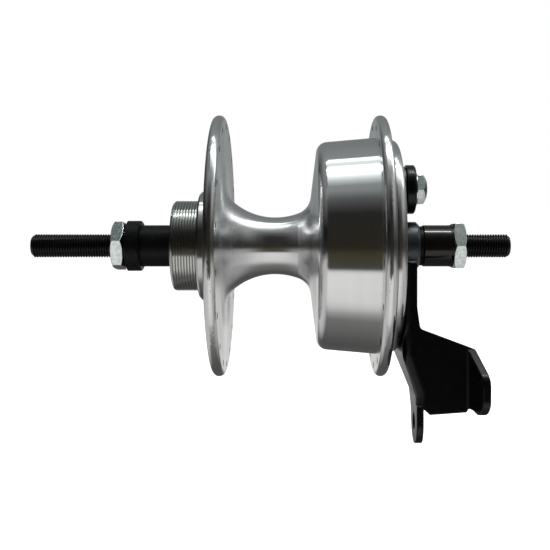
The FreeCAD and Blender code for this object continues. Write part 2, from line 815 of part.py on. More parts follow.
def tab_top(x):
    """Height of the tab's straight sloping top edge at x."""
    root_x = plate_out + arm_rim_reach + arm_rim_flare
    end_x = plate_out + tab_reach - lip_lean
    return -tab_root_top - (tab_end_top - tab_root_top) * (x - root_x) / (end_x - root_x)


def reaction_arm():
    """Pressed steel arm: eye on the axle, joggled sheet, folded tab with hooked lip, drilled end."""
    near = -arm_near
    sheet = arm_block(0).cut(arm_block(arm_wall))
    rim_x = plate_out + arm_rim_reach
    tab_x = plate_out + tab_reach - lip_lean - arm_bend
    root_x = plate_out + arm_joggle + arm_wall + 0.2
    relief = tab_root_bottom - 1.8
    side = extruded_y([(plate_out - 1, 2), (rim_x, 2), (rim_x, -arm_rim_end, arm_rim_bend),
                       (rim_x + arm_rim_flare, -tab_root_top, 2.0), (tab_x, tab_top(tab_x)),
                       (tab_x, -tab_end_bottom), (root_x + 2, -tab_root_bottom),
                       (root_x, -relief, 0.5), (plate_out - 1, -relief)], near - 1, arm_far + arm_stock)
    tab_only = extruded_y([(rim_x, 2), (tab_x + 1, 2), (tab_x + 1, -tab_root_bottom - 1),
                           (rim_x, -tab_root_bottom - 1)], near - 1, near + arm_bend)
    outline = extruded_x(arm_sheet_outline(), plate_out - 1, tab_x + 1)
    upper = sheet.common(side).common(outline.fuse(tab_only))
    strip = extruded_x(arm_sheet_outline(), plate_out + arm_joggle, plate_out + arm_joggle + arm_wall)
    strip = strip.common(block(plate_out, tab_x, near, arm_far, -arm_strip_end - 5, -relief + 1.5))
    end_r = arm_strip_width / 2
    end_y = near + end_r
    tip = disc(plate_out + arm_joggle, plate_out + arm_joggle + arm_wall, end_r, y=end_y, z=-arm_strip_end)
    eye = disc(plate_out, arm_out, arm_eye_dia / 2)
    arm = upper.fuse([strip, tip, eye, hooked_lip()])
    cuts = [disc(plate_out - 1, arm_out + 1, axle_bore_r),
            disc(plate_out - 1, arm_out + 1, anchor_pin_dia / 2 + press_gap, z=-anchor_height),
            disc(plate_out, plate_out + arm_joggle + arm_wall + 1, arm_strip_hole_dia / 2,
                 y=end_y, z=-arm_strip_end)]
    return arm.cut(cuts).removeSplitter()


def hooked_lip():
    """Lip folded forward from the tab's end and leaning outward, its free edge sloped at the top."""
    tip_x = plate_out + tab_reach
    near = -arm_near
    back = near + arm_wall
    tip_y = near - lip_reach
    lean = lip_lean / lip_reach
    fold_x = tip_x - lip_lean
    back_x = fold_x - arm_wall * lean
    wall_x = arm_wall * math.sqrt(1 + lean ** 2)
    start_x = fold_x - arm_bend - 1.0
    fold = extruded_z([(start_x, back), (back_x, back, arm_bend), (tip_x, tip_y),
                       (tip_x - wall_x, tip_y), (fold_x - wall_x, near, arm_bend - arm_wall),
                       (start_x, near)], -tab_end_bottom, -arm_rim_end)
    free = extruded_x([(back + 1, -arm_rim_end), (near, tab_top(fold_x)),
                       (tip_y, tab_top(fold_x) - lip_slope, lip_top_corner),
                       (tip_y, -lip_bottom, lip_corner), (near, -lip_bottom), (near, -tab_end_bottom),
                       (back + 1, -tab_end_bottom)], start_x - 1, tip_x + 1)
    notch = -lip_bottom + fold_relief
    top = extruded_y([(start_x - 1, tab_top(start_x - 1)), (tip_x + 1, tab_top(tip_x + 1)),
                      (tip_x + 1, -lip_bottom), (fold_x - 0.2 * arm_bend, -lip_bottom, 0.6),
                      (fold_x - 0.4 * arm_bend, notch, 0.5), (fold_x - 0.65 * arm_bend, notch, 0.5),
                      (fold_x - 0.85 * arm_bend, -tab_end_bottom), (start_x - 1, -tab_end_bottom)],
                     tip_y - 1, back + 1)
    return fold.common(free).common(top)


def build():
    pieces = {
        "axle": axle(),
        "locknut_left": locknut(nut_left_out, nut_turn_left),
        "locknut_right": locknut(nut_right_in, 0.0),
        "collar_left": collar_left(),
        "spacer_left": nosed_spacer(collar_end, left_bearing_out, False, True),
        "spacer_right": spacer_right(),
        "lock_ring": tube(lock_ring_in, spacer_right_in, lock_ring_dia / 2, axle_bore_r, 0.2),
        "plate_nut": plate_nut(),
        "shoulder_spacer": nosed_spacer(right_bearing_out, plate_boss_in, True, False),
        "inner_sleeve": tube(left_bearing_in, right_bearing_in, sleeve_dia / 2, axle_bore_r + 0.3),
        "bearing_inner_left": bearing_inner(left_bearing_out),
        "bearing_inner_right": bearing_inner(right_bearing_in),
        "brake_plate": brake_plate(),
        "cam_bush": cam_bush(),
        "anchor_pin": anchor_pin(),
        "reaction_arm": reaction_arm(),
        "hub_shell": hub_shell(),
        "freewheel_sleeve": freewheel_sleeve(),
        "brake_liner": brake_liner(),
        "bearing_outer_left": bearing_outer(left_bearing_out),
        "bearing_outer_right": bearing_outer(right_bearing_in),
        "seals_left": seals(left_bearing_out),
        "seals_right": seals(right_bearing_in),
        "balls_left": balls(left_bearing_out),
        "balls_right": balls(right_bearing_in),
        "cage_left": cage(left_bearing_out, 1),
        "cage_right": cage(right_bearing_in, -1),
        "brake_cam": brake_cam(),
        "brake_lever": brake_lever(),
        "lever_washer": lever_washer(),
        "lever_nut": lever_nut(),
        "shoe_front": shoe(-1),
        "shoe_rear": shoe(1),
        "lining_front": lining(-1),
        "lining_rear": lining(1),
        "spring_upper": return_spring(spring_upper_height),
        "spring_lower": return_spring(-spring_lower_height),
    }
    os.makedirs("parts", exist_ok=True)
    for name, shape in pieces.items():
        shape.exportStep("parts/" + name + ".step")
        print(name, "solids", len(shape.Solids), "volume", round(shape.Volume, 1), "valid", shape.isValid())


build()
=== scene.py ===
import json
import math

import bmesh
import bpy
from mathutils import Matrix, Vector

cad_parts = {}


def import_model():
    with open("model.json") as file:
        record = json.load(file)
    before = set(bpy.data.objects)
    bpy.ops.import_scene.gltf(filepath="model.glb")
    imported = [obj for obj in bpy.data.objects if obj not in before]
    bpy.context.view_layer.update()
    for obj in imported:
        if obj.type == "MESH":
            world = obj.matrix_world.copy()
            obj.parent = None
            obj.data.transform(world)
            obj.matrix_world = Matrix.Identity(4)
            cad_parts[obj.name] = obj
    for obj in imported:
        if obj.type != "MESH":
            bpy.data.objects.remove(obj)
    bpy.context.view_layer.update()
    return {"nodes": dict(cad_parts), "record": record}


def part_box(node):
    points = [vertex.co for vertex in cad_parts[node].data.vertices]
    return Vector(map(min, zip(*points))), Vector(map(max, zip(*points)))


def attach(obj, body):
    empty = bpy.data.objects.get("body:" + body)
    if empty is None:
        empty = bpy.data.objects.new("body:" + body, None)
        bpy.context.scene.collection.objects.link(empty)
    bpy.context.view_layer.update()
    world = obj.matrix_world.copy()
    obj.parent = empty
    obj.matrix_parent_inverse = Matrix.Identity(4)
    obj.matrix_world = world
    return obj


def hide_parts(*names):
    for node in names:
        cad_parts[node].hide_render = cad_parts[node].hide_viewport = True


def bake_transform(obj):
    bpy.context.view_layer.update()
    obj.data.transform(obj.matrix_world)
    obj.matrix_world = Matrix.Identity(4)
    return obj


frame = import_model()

nodes = frame["nodes"]
scene = bpy.context.scene
slot_of = {row["node"]: row["material_slot"] for row in frame["record"]["subparts"]}
mounts = {row["name"]: row for row in frame["record"]["mounts"]}
MM = 0.001


# Shader nodes

def material(name):
    """New material with an empty node tree, and that tree."""
    m = bpy.data.materials.new(name)
    m.use_nodes = True
    m.node_tree.nodes.clear()
    return m, m.node_tree


def feed(tree, socket, value):
    """Set a socket to a number or a colour, or link another node's output to it."""
    if isinstance(value, bpy.types.NodeSocket):
        tree.links.new(value, socket)
    elif isinstance(value, tuple):
        socket.default_value = (*value, 1)
    else:
        socket.default_value = value


def calc(tree, operation, *values):
    node = tree.nodes.new("ShaderNodeMath")
    node.operation = operation
    for socket, value in zip(node.inputs, values):
        feed(tree, socket, value)
    return node.outputs[0]


def remap(tree, source, low, high, to_low, to_high):
    """Source moved from low..high to to_low..to_high, and held at these ends."""
    node = tree.nodes.new("ShaderNodeMapRange")
    for socket, value in zip(node.inputs, (source, low, high, to_low, to_high)):
        feed(tree, socket, value)
    return node.outputs[0]


def mix(tree, factor, a, b):
    """Colour from a, where the factor is 0, to b, where it is 1."""
    node = tree.nodes.new("ShaderNodeMix")
    node.data_type = "RGBA"
    for index, value in ((0, factor), (6, a), (7, b)):
        feed(tree, node.inputs[index], value)
    return node.outputs[2]


def ramp(tree, source, stops):
    """Colour by position, from stops of (position, colour)."""
    node = tree.nodes.new("ShaderNodeValToRGB")
    elements = node.color_ramp.elements
    elements.remove(elements[-1])
    for i, (place, colour) in enumerate(stops):
        element = elements[0] if i == 0 else elements.new(place)
        element.position = place
        element.color = (*colour, 1)
    feed(tree, node.inputs[0], source)
    return node.outputs[0]


def noise(tree, source, scale, detail, rough):
    """Noise in space, or along a line where the source is a single number."""
    node = tree.nodes.new("ShaderNodeTexNoise")
    on_line = source.type == "VALUE"
    if on_line:
        node.noise_dimensions = "1D"
    feed(tree, node.inputs["W" if on_line else "Vector"], source)
    feed(tree, node.inputs["Scale"], scale)
    feed(tree, node.inputs["Detail"], detail)
    feed(tree, node.inputs["Roughness"], rough)
    return node.outputs[0]


def bump(tree, height, distance, below=None):
    """Normal of a fine relief, laid on another normal where one is given."""
    node = tree.nodes.new("ShaderNodeBump")
    feed(tree, node.inputs["Distance"], distance)
    feed(tree, node.inputs["Strength"], 1.0)
    feed(tree, node.inputs["Height"], height)
    if below is not None:
        feed(tree, node.inputs["Normal"], below)
    return node.outputs[0]


def eased(tree, radius):
    """Normal that turns softly over a sharp edge, as paint and plating do."""
    node = tree.nodes.new("ShaderNodeBevel")
    node.samples = 6
    feed(tree, node.inputs["Radius"], radius)
    return node.outputs[0]


def object_place(tree):
    return tree.nodes.new("ShaderNodeTexCoord").outputs["Object"]


def split(tree, vector):
    """The x, y and z of a vector."""
    node = tree.nodes.new("ShaderNodeSeparateXYZ")
    feed(tree, node.inputs[0], vector)
    return node.outputs


def round_axle(tree, place):
    """The x of a place, and its radius from the axle line."""
    x, y, z = split(tree, place)
    square = calc(tree, "ADD", calc(tree, "MULTIPLY", y, y), calc(tree, "MULTIPLY", z, z))
    return x, calc(tree, "SQRT", square)


def output(tree, shader, kind="ShaderNodeOutputMaterial"):
    out = tree.nodes.new(kind)
    feed(tree, out.inputs[0], shader.outputs[0])


def principled(tree, colour, rough, normal, **fixed):
    """The material's surface. The name of a fixed socket has _ for each space."""
    shader = tree.nodes.new("ShaderNodeBsdfPrincipled")
    for name, value in fixed.items():
        feed(tree, shader.inputs[name.replace("_", " ")], value)
    feed(tree, shader.inputs["Base Color"], colour)
    feed(tree, shader.inputs["Roughness"], rough)
    feed(tree, shader.inputs["Normal"], normal)
    output(tree, shader)
    return shader


def scaled(colour, share):
    return tuple(c * share for c in colour)


def clouded(tree, place, colour, share, scale, low, high, detail=3.0):
    """A colour that drifts in soft clouds to a darker share of itself."""
    cloud = noise(tree, place, scale, detail, rough=0.6)
    return mix(tree, remap(tree, cloud, low, high, 0.0, 1.0), scaled(colour, share), colour)


# Finishes of the pieces

# Share of the radius in the rings' coordinate, so that flat faces show rings as well as tubes do.
RING_SLANT = 1.31
# Turn of the highlight's stretch against the tangent.
QUARTER_TURN = 0.25
# Painted shade for the drilled walls, and the roughness that they have above the rest.
WALL_PAINTED_SHADE = (0.05, 0.05, 0.05)
WALL_ROUGH = 0.4


def turned_metal(name, colour, rough, grain, depth, stretch, streak=0.10, spots=0.0,
                 zones=None, bored=None):
    """Metal finished in a lathe: fine rings round the axle, a little uneven in shade and gloss."""
    m, t = material(name)
    place = object_place(t)
    x, radius = round_axle(t, place)
    along = calc(t, "ADD", x, calc(t, "MULTIPLY", radius, RING_SLANT))
    fine = noise(t, along, grain, detail=3.0, rough=0.65)
    broad = noise(t, along, grain * 0.12, detail=2.0, rough=0.5)
    rings = calc(t, "ADD", calc(t, "MULTIPLY", fine, 0.6), calc(t, "MULTIPLY", broad, 0.4))
    smear = noise(t, place, scale=160.0, detail=4.0, rough=0.6)

    shade = clouded(t, place, colour, share=0.955, scale=45.0, low=0.35, high=0.75)
    shade = mix(t, remap(t, rings, 0.35, 0.65, 0.0, streak), shade, scaled(colour, 0.75))
    if spots:
        shade = mix(t, remap(t, smear, 0.60, 0.74, 0.0, spots), shade, scaled(colour, 0.55))
    gloss = calc(t, "ADD", remap(t, rings, 0.3, 0.7, rough * 0.85, rough * 1.15),
                 remap(t, smear, 0.4, 0.7, 0.0, rough * 0.10))
    if zones:
        gloss = calc(t, "MULTIPLY", gloss, zones(t, x, radius))
    if bored:
        wall = bored(t, x, radius)
        # Painted shade: the walls of the spoke holes are darkened to stand for the shade inside them.
        shade = mix(t, wall, shade, WALL_PAINTED_SHADE)
        gloss = calc(t, "ADD", gloss, calc(t, "MULTIPLY", wall, WALL_ROUGH))

    shader = principled(t, shade, gloss, bump(t, rings, depth), Metallic=1.0, Anisotropic=stretch,
                        Anisotropic_Rotation=QUARTER_TURN)
    tangent = t.nodes.new("ShaderNodeTangent")
    tangent.direction_type = "RADIAL"
    tangent.axis = "X"
    feed(t, shader.inputs["Tangent"], tangent.outputs[0])
    return m


FLANGES = [mounts[name]["pos_m"][0] for name in ("spokes_left", "spokes_right")]
SPOKE_RING = mounts["spokes_left"]["dims"]["pcd_mm"] / 2 * MM
# Just inside the flanges' faces, and just outside the holes' walls.
WALL_HALF_LENGTH = 0.00206
WALL_HALF_WIDTH = 0.0016


def shaded_spoke_walls(t, x, radius):
    """1 on the drilled walls of the spoke holes, which get painted shade and duller metal, and 0 elsewhere.
    """
    left, right = (calc(t, "COMPARE", x, middle, WALL_HALF_LENGTH) for middle in FLANGES)
    return calc(t, "MULTIPLY", calc(t, "MAXIMUM", left, right),
                calc(t, "COMPARE", radius, SPOKE_RING, WALL_HALF_WIDTH))


# Roughness of the shell's zones against the drum's, and the radii or places where each zone changes.
NECK_SATIN = 1.65
NECK_EDGE = (0.029, 0.034)
FACE_SATIN = 1.6
RIM_SATIN = 1.3
RIM_EDGE = (0.0425, 0.0450)
LEFT_FLANGE_EDGE = (-0.053, -0.057)
RIGHT_FLANGE_EDGE = (-0.0027, -0.0022)


def shell_zones(t, x, radius):
    """The drum is polished brightest. The neck and the flange faces are more satin."""
    inner = remap(t, radius, *NECK_EDGE, NECK_SATIN, 1.0)
    face = remap(t, radius, *RIM_EDGE, FACE_SATIN, RIM_SATIN)
    beside = calc(t, "MAXIMUM", remap(t, x, *LEFT_FLANGE_EDGE, 0.0, 1.0),
                  remap(t, x, *RIGHT_FLANGE_EDGE, 0.0, 1.0))
    outer = calc(t, "ADD", calc(t, "MULTIPLY", beside, face), calc(t, "SUBTRACT", 1.0, beside))
    return calc(t, "MULTIPLY", inner, outer)


def coated_metal(name, colour, rough, grain, depth, coat=0.0, coat_rough=0.05, metal=0.0, specular=0.5,
                 dust=0.0, edge=0.0):
    """Painted, blackened or drawn steel: slight ripple, worn shade and a few lighter specks."""
    m, t = material(name)
    place = object_place(t)
    ripple = noise(t, place, grain, detail=3.0, rough=0.55)
    shade = clouded(t, place, colour, share=0.85, scale=60.0, low=0.35, high=0.7)
    if dust:
        speck = noise(t, place, scale=900.0, detail=2.0, rough=0.6)
        lighter = tuple(c * 2.2 + 0.02 for c in colour)
        shade = mix(t, remap(t, speck, 0.62, 0.78, 0.0, dust), shade, lighter)
    gloss = remap(t, ripple, 0.3, 0.7, rough * 0.85, rough * 1.2)
    normal = bump(t, ripple, depth, eased(t, edge) if edge else None)
    shader = principled(t, shade, gloss, normal, Metallic=metal, Specular_IOR_Level=specular,
                        Coat_Weight=coat, Coat_Roughness=coat_rough)
    if edge:
        feed(t, shader.inputs["Coat Normal"], normal)
    return m


PLATED_EDGE = 0.00025


def plated(name, colour, tint, rough, grain, depth):
    """Zinc plate: mottled crystals between two shades."""
    m, t = material(name)
    place = object_place(t)
    cells = t.nodes.new("ShaderNodeTexVoronoi")
    feed(t, cells.inputs["Scale"], grain)
    feed(t, cells.inputs["Vector"], place)
    cell = t.nodes.new("ShaderNodeSeparateColor")
    feed(t, cell.inputs[0], cells.outputs["Color"])
    cloud = noise(t, place, scale=750.0, detail=3.0, rough=0.6)
    speck = noise(t, place, scale=1500.0, detail=3.0, rough=0.7)
    mottle = calc(t, "ADD", calc(t, "MULTIPLY", cell.outputs[0], 0.12), calc(t, "MULTIPLY", cloud, 0.88))
    shade = mix(t, remap(t, mottle, 0.38, 0.62, 0.0, 1.0), colour, tint)
    gloss = remap(t, speck, 0.35, 0.7, rough * 0.75, rough * 1.35)
    principled(t, shade, gloss, bump(t, speck, depth, eased(t, PLATED_EDGE)), Metallic=1.0)
    return m


def cast_metal(name, colour, rough, grain, depth):
    """Die-cast metal as it left the mould: dull and finely lumpy."""
    m, t = material(name)
    place = object_place(t)
    lumps = noise(t, place, grain, detail=4.0, rough=0.6)
    shade = clouded(t, place, colour, share=0.8, scale=70.0, low=0.3, high=0.7)
    gloss = remap(t, lumps, 0.3, 0.7, rough * 0.85, rough * 1.15)
    principled(t, shade, gloss, bump(t, lumps, depth), Metallic=1.0)
    return m


BRASS_FLECK = (0.42, 0.33, 0.18)


def friction_lining(name, colour, rough, depth):
    """Moulded brake lining: dark binder with brass and fibre flecks."""
    m, t = material(name)
    place = object_place(t)
    flecks = noise(t, place, scale=1600.0, detail=2.0, rough=0.7)
    shade = clouded(t, place, colour, share=0.7, scale=200.0, low=0.3, high=0.7, detail=4.0)
    shade = mix(t, remap(t, flecks, 0.62, 0.72, 0.0, 1.0), shade, BRASS_FLECK)
    principled(t, shade, rough, bump(t, flecks, depth))
    return m


# The finish of each slot. Grains are per metre, and the depth of a relief is in metres.
finish_of = {
    "shell_alloy": turned_metal("polished_alloy", (0.86, 0.86, 0.86), rough=0.12, grain=2600.0, depth=6e-7,
                                stretch=0.95, streak=0.12, zones=shell_zones, bored=shaded_spoke_walls),
    "plate_alloy": turned_metal("plate_alloy", (0.84, 0.84, 0.84), rough=0.20, grain=2200.0, depth=1e-6,
                                stretch=0.9),
    "boss_steel": turned_metal("boss_steel", (0.60, 0.60, 0.58), rough=0.14, grain=900.0, depth=4e-7,
                               stretch=0.2, streak=0.05),
    "axle_steel": coated_metal("oxide_steel", (0.003, 0.003, 0.003), rough=0.28, grain=700.0, depth=2e-6,
                               specular=0.45, dust=0.12),
    "black_steel": coated_metal("satin_black", (0.003, 0.003, 0.003), rough=0.36, grain=500.0, depth=2e-6,
                                specular=0.16, dust=0.2),
    "gloss_black_steel": coated_metal("gloss_black", (0.005, 0.004, 0.003), rough=0.13, grain=250.0,
                                      depth=5e-7, coat=0.2, coat_rough=0.10, specular=0.35, dust=0.05),
    "black_paint": coated_metal("arm_paint", (0.002, 0.002, 0.003), rough=0.24, grain=260.0, depth=2e-6,
                                coat=0.12, coat_rough=0.06, specular=0.25, dust=0.1, edge=0.0009),
    "blued_steel": turned_metal("blued_steel", (0.120, 0.135, 0.140), rough=0.42, grain=2000.0, depth=2e-6,
                                stretch=0.3),
    "zinc_steel": plated("zinc_plate", (0.63, 0.68, 0.67), tint=(0.86, 0.91, 0.89), rough=0.15,
                         grain=900.0, depth=1.2e-6),
    "plain_steel": turned_metal("turned_steel", (0.55, 0.55, 0.55), rough=0.24, grain=1800.0, depth=2e-6,
                                stretch=0.3, spots=0.3),
    "bearing_steel": turned_metal("ground_steel", (0.72, 0.72, 0.73), rough=0.08, grain=3000.0,
                                  depth=1e-6, stretch=0.1),
    "seal_steel": turned_metal("shield_steel", (0.42, 0.42, 0.43), rough=0.3, grain=1500.0, depth=2e-6,
                               stretch=0.2),
    "liner_iron": turned_metal("bored_iron", (0.34, 0.33, 0.32), rough=0.34, grain=1600.0, depth=3e-6,
                               stretch=0.4, spots=0.3),
    "cast_alloy": cast_metal("cast_alloy", (0.62, 0.62, 0.62), rough=0.45, grain=900.0, depth=4e-5),
    "spring_steel": coated_metal("spring_steel", (0.20, 0.20, 0.21), rough=0.3, grain=500.0, depth=4e-6,
                                 metal=1.0),
    "friction_block": friction_lining("friction_block", (0.12, 0.10, 0.085), rough=0.85, depth=6e-5),
}
for name, obj in nodes.items():
    obj.data.materials.clear()
    obj.data.materials.append(finish_of[slot_of[name]])


# Meshes and objects

def add_object(name, mesh, finish):
    """Object of a mesh, in the scene, with its finish."""
    obj = bpy.data.objects.new(name, mesh)
    scene.collection.objects.link(obj)
    mesh.materials.append(finish)
    return obj


def plain_mesh(name, verts, faces):
    mesh = bpy.data.meshes.new(name)
    mesh.from_pydata(verts, [], faces)
    return mesh


def smooth(mesh, sharp_degrees):
    """Shade a mesh smooth, except across edges that turn by more than this."""
    mesh.polygons.foreach_set("use_smooth", [True] * len(mesh.polygons))
    mesh.set_sharp_from_angle(angle=math.radians(sharp_degrees))


# Screw threads, on turned pieces that are worked out in millimetres

# Flat root of a thread, as a share of half its pitch, and the angle at which its shading breaks.
ROOT_FLAT = 0.05
THREAD_SHARP = 28


def thread_cut(x, turn, depth, pitch, flank):
    """How far the thread cuts below its crest, at x and at this share of a turn."""
    phase = (x / pitch - turn) % 1.0
    ridge = (1.0 - abs(2.0 * phase - 1.0) - ROOT_FLAT) / flank
    return depth * (1.0 - min(1.0, max(0.0, ridge)))


def threaded_piece(name, node, body, stations, capped, steps, pitch, flank):
    """Threaded surface about X that stands for a node. A station is its x, radius and thread depth.

    A capped piece is closed by flat ends. Another is hollow, and its last station joins its first.
    """
    verts, faces = [], []
    for x, radius, depth in stations:
        for k in range(steps):
            turn = k / steps
            reach = (radius - thread_cut(x, turn, depth, pitch, flank)) * MM
            angle = 2 * math.pi * turn
            verts.append((x * MM, reach * math.sin(angle), reach * math.cos(angle)))
    last = (len(stations) - 1) * steps
    for row in range(0, last, steps):
        for k in range(steps):
            k2 = (k + 1) % steps
            faces.append((row + k, row + steps + k, row + steps + k2, row + k2))
    if capped:
        faces.append(tuple(range(steps)))
        faces.append(tuple(reversed(range(last, last + steps))))
    else:
        for k in range(steps):
            k2 = (k + 1) % steps
            faces.append((last + k, k, k2, last + k2))

    mesh = plain_mesh(name, verts, faces)
    bm = bmesh.new()
    bm.from_mesh(mesh)
    bmesh.ops.recalc_face_normals(bm, faces=bm.faces)
    bm.to_mesh(mesh)
    bm.free()
    smooth(mesh, THREAD_SHARP)
    piece = add_object(name, mesh, finish_of[slot_of[node]])
    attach(piece, body)
    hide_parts(node)


# Axle thread. A flank is given as its share of half a pitch.
AXLE_PITCH = 1.0
AXLE_DEPTH = 0.54
AXLE_FLANK = 0.8
AXLE_CHAMFER = 1.0
# Points round the axle, stations in a turn of its thread, and stations in a chamfer.
AXLE_STEPS = 96
AXLE_ROWS = 10
CHAMFER_ROWS = 8
# The full thread starts this far past a chamfer, ends this far inside a locknut, and runs out over this.
AXLE_START = 0.1
AXLE_IN_NUT = 2.0
AXLE_STOP = 0.2


def axle_thread(x0, x1, radius):
    """Stations of the full thread from x0 to x1."""
    count = round((x1 - x0) / AXLE_PITCH * AXLE_ROWS)
    return [(x0 + (x1 - x0) * i / count, radius, AXLE_DEPTH) for i in range(count + 1)]


def axle_outline():
    """Axle with chamfered ends and a thread outside each locknut, plain between them."""
    low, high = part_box("axle")
    left, right, radius = low.x / MM, high.x / MM, high.z / MM
    left_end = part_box("locknut_left")[0].x / MM + AXLE_IN_NUT
    right_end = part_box("locknut_right")[1].x / MM - AXLE_IN_NUT
    small = radius - AXLE_CHAMFER
    stations = [(left, small, 0.0)]
    for i in range(1, CHAMFER_ROWS + 1):
        rise = AXLE_CHAMFER * i / CHAMFER_ROWS
        depth = AXLE_DEPTH * max(0, i - 2) / (CHAMFER_ROWS - 2)
        stations.append((left + rise, small + rise, depth))
    stations += axle_thread(left + AXLE_CHAMFER + AXLE_START, left_end, radius)
    stations += [(left_end + AXLE_STOP, radius, 0.0), (right_end - AXLE_STOP, radius, 0.0)]
    stations += axle_thread(right_end, right - AXLE_CHAMFER - AXLE_START, radius)
    for i in range(CHAMFER_ROWS):
        fall = AXLE_CHAMFER * i / CHAMFER_ROWS
        depth = AXLE_DEPTH * (1 - i / CHAMFER_ROWS) if i < CHAMFER_ROWS - 2 else 0.0
        stations.append((right - AXLE_CHAMFER + fall, radius - fall, depth))
    stations.append((right, small, 0.0))
    return stations


# Freewheel thread with 24 turns to the inch.
BOSS_R = mounts["freewheel_thread"]["dims"]["r_mm"]
BOSS_PITCH = 1.0583
BOSS_DEPTH = 0.55
BOSS_FLANK = 0.45
BOSS_LENGTH = 9.6
BOSS_STEPS = 256
BOSS_ROWS = 12
# Outer face with its small chamfer, and the lead-in over which the thread grows.
FACE_DROP = 0.8
FACE_CHAMFER = 0.2
BOSS_START = 0.3
LEAD_LENGTH = 0.9
LEAD_DROP = 0.5
# Relief behind the thread, shoulder ring, and spigot in the shell.
RELIEF_STEP = 0.02
RELIEF_WIDTH = 0.5
RELIEF_DROP = 0.9
SHOULDER_WIDTH = 5.6
SHOULDER_CHAMFER = 0.8
SPIGOT_R = 14.0
SPIGOT_LENGTH = 6.2
# Bore: narrow part behind the left bearing, the seat of that bearing, and its chamfered mouth.
NARROW_R = 10.5
SEAT_R = 13.02
SEAT_DEPTH = 10.0
MOUTH_CHAMFER = 0.5


def boss_outline():
    """Freewheel boss: thread, relief, shoulder and spigot outside, then back through the bore."""
    low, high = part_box("freewheel_sleeve")
    face, shoulder_r = low.x / MM, high.z / MM
    thread_end = face + BOSS_LENGTH
    shoulder = thread_end + RELIEF_WIDTH
    inner = shoulder + SHOULDER_WIDTH
    spigot_end = inner + SPIGOT_LENGTH
    seat_end = face + SEAT_DEPTH
    face_r = BOSS_R - FACE_DROP
    relief_r = BOSS_R - RELIEF_DROP
    stations = [(face, face_r, 0.0), (face + FACE_CHAMFER, face_r + FACE_CHAMFER, 0.0)]
    run = BOSS_LENGTH - BOSS_START
    count = int(run / BOSS_PITCH * BOSS_ROWS)
    for i in range(count + 1):
        x = BOSS_START + run * i / count
        lead = min(1.0, x / LEAD_LENGTH)
        stations.append((face + x, BOSS_R - LEAD_DROP * (1 - lead), BOSS_DEPTH * lead))
    corners = [(thread_end + RELIEF_STEP, relief_r), (shoulder, relief_r),
               (shoulder, shoulder_r - SHOULDER_CHAMFER), (shoulder + SHOULDER_CHAMFER, shoulder_r),
               (inner, shoulder_r), (inner, SPIGOT_R), (spigot_end, SPIGOT_R), (spigot_end, NARROW_R),
               (seat_end, NARROW_R), (seat_end, SEAT_R), (face + MOUTH_CHAMFER, SEAT_R),
               (face, SEAT_R + MOUTH_CHAMFER)]
    return stations + [(x, radius, 0.0) for x, radius in corners]


threaded_piece("threaded_axle", "axle", "axle_assembly", axle_outline(), capped=True,
               steps=AXLE_STEPS, pitch=AXLE_PITCH, flank=AXLE_FLANK)
threaded_piece("threaded_boss", "freewheel_sleeve", "hub", boss_outline(), capped=False,
               steps=BOSS_STEPS, pitch=BOSS_PITCH, flank=BOSS_FLANK)


# Return springs

SPRING_SHARP = 30


def spring_half(node, side):
    """Half of a return spring, cut off at its middle."""
    bm = bmesh.new()
    bm.from_mesh(nodes[node].data)
    bmesh.ops.remove_doubles(bm, verts=bm.verts, dist=1e-6)
    cut = bmesh.ops.bisect_plane(bm, geom=bm.verts[:] + bm.edges[:] + bm.faces[:], dist=1e-7,
                                 plane_co=(0, 0, 0), plane_no=(0, side, 0), clear_inner=True)
    bmesh.ops.bridge_loops(bm, edges=[e for e in cut["geom_cut"] if isinstance(e, bmesh.types.BMEdge)])
    bmesh.ops.recalc_face_normals(bm, faces=bm.faces)
    name = node + ("_rear" if side > 0 else "_front")
    mesh = bpy.data.meshes.new(name)
    bm.to_mesh(mesh)
    bm.free()
    smooth(mesh, SPRING_SHARP)
    piece = add_object(name, mesh, finish_of[slot_of[node]])
    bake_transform(piece)
    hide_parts(node)


for node in ("spring_upper", "spring_lower"):
    spring_half(node, -1)
    spring_half(node, 1)


# Studio: floor, light tent and lamps

def emission(tree, strength, colour=(1.0, 1.0, 1.0)):
    node = tree.nodes.new("ShaderNodeEmission")
    feed(tree, node.inputs["Color"], colour)
    feed(tree, node.inputs["Strength"], strength)
    return node


def seen_by(tree, *rays):
    """1 for these kinds of ray, and 0 for the rest."""
    path = tree.nodes.new("ShaderNodeLightPath")
    seen = path.outputs[rays[0]]
    for ray in rays[1:]:
        seen = calc(tree, "MAXIMUM", seen, path.outputs[ray])
    return seen


def only_reflected(obj):
    """Stage object that only reflections see. It casts no shadow and gives no diffuse light."""
    obj.visible_camera = False
    obj.visible_diffuse = False
    obj.visible_shadow = False
    obj.visible_transmission = False
    obj.visible_volume_scatter = False


FLOOR_Z = -0.125
FLOOR_REACH = 6.0
FLOOR_SHADE = 0.8
FLOOR_GLOW = 0.80


def floor_finish():
    """Pale floor that shows white to the camera and keeps the object's soft shadow."""
    m, t = material("pale_floor")
    diffuse = t.nodes.new("ShaderNodeBsdfDiffuse")
    feed(t, diffuse.inputs["Color"], (FLOOR_SHADE, FLOOR_SHADE, FLOOR_SHADE))
    glow = emission(t, calc(t, "MULTIPLY", seen_by(t, "Is Camera Ray", "Is Transmission Ray"), FLOOR_GLOW))
    both = t.nodes.new("ShaderNodeAddShader")
    feed(t, both.inputs[0], diffuse.outputs[0])
    feed(t, both.inputs[1], glow.outputs[0])
    output(t, both)
    return m


def sheet(name, corners, finish):
    return add_object(name, plain_mesh(name, corners, [(0, 1, 2, 3)]), finish)


SQUARE = ((-1, -1), (1, -1), (1, 1), (-1, 1))
floor = sheet("floor", [(a * FLOOR_REACH, b * FLOOR_REACH, FLOOR_Z) for a, b in SQUARE], floor_finish())
# Reflections see the tent, with its painted shade under the object, rather than the floor.
floor.visible_glossy = False

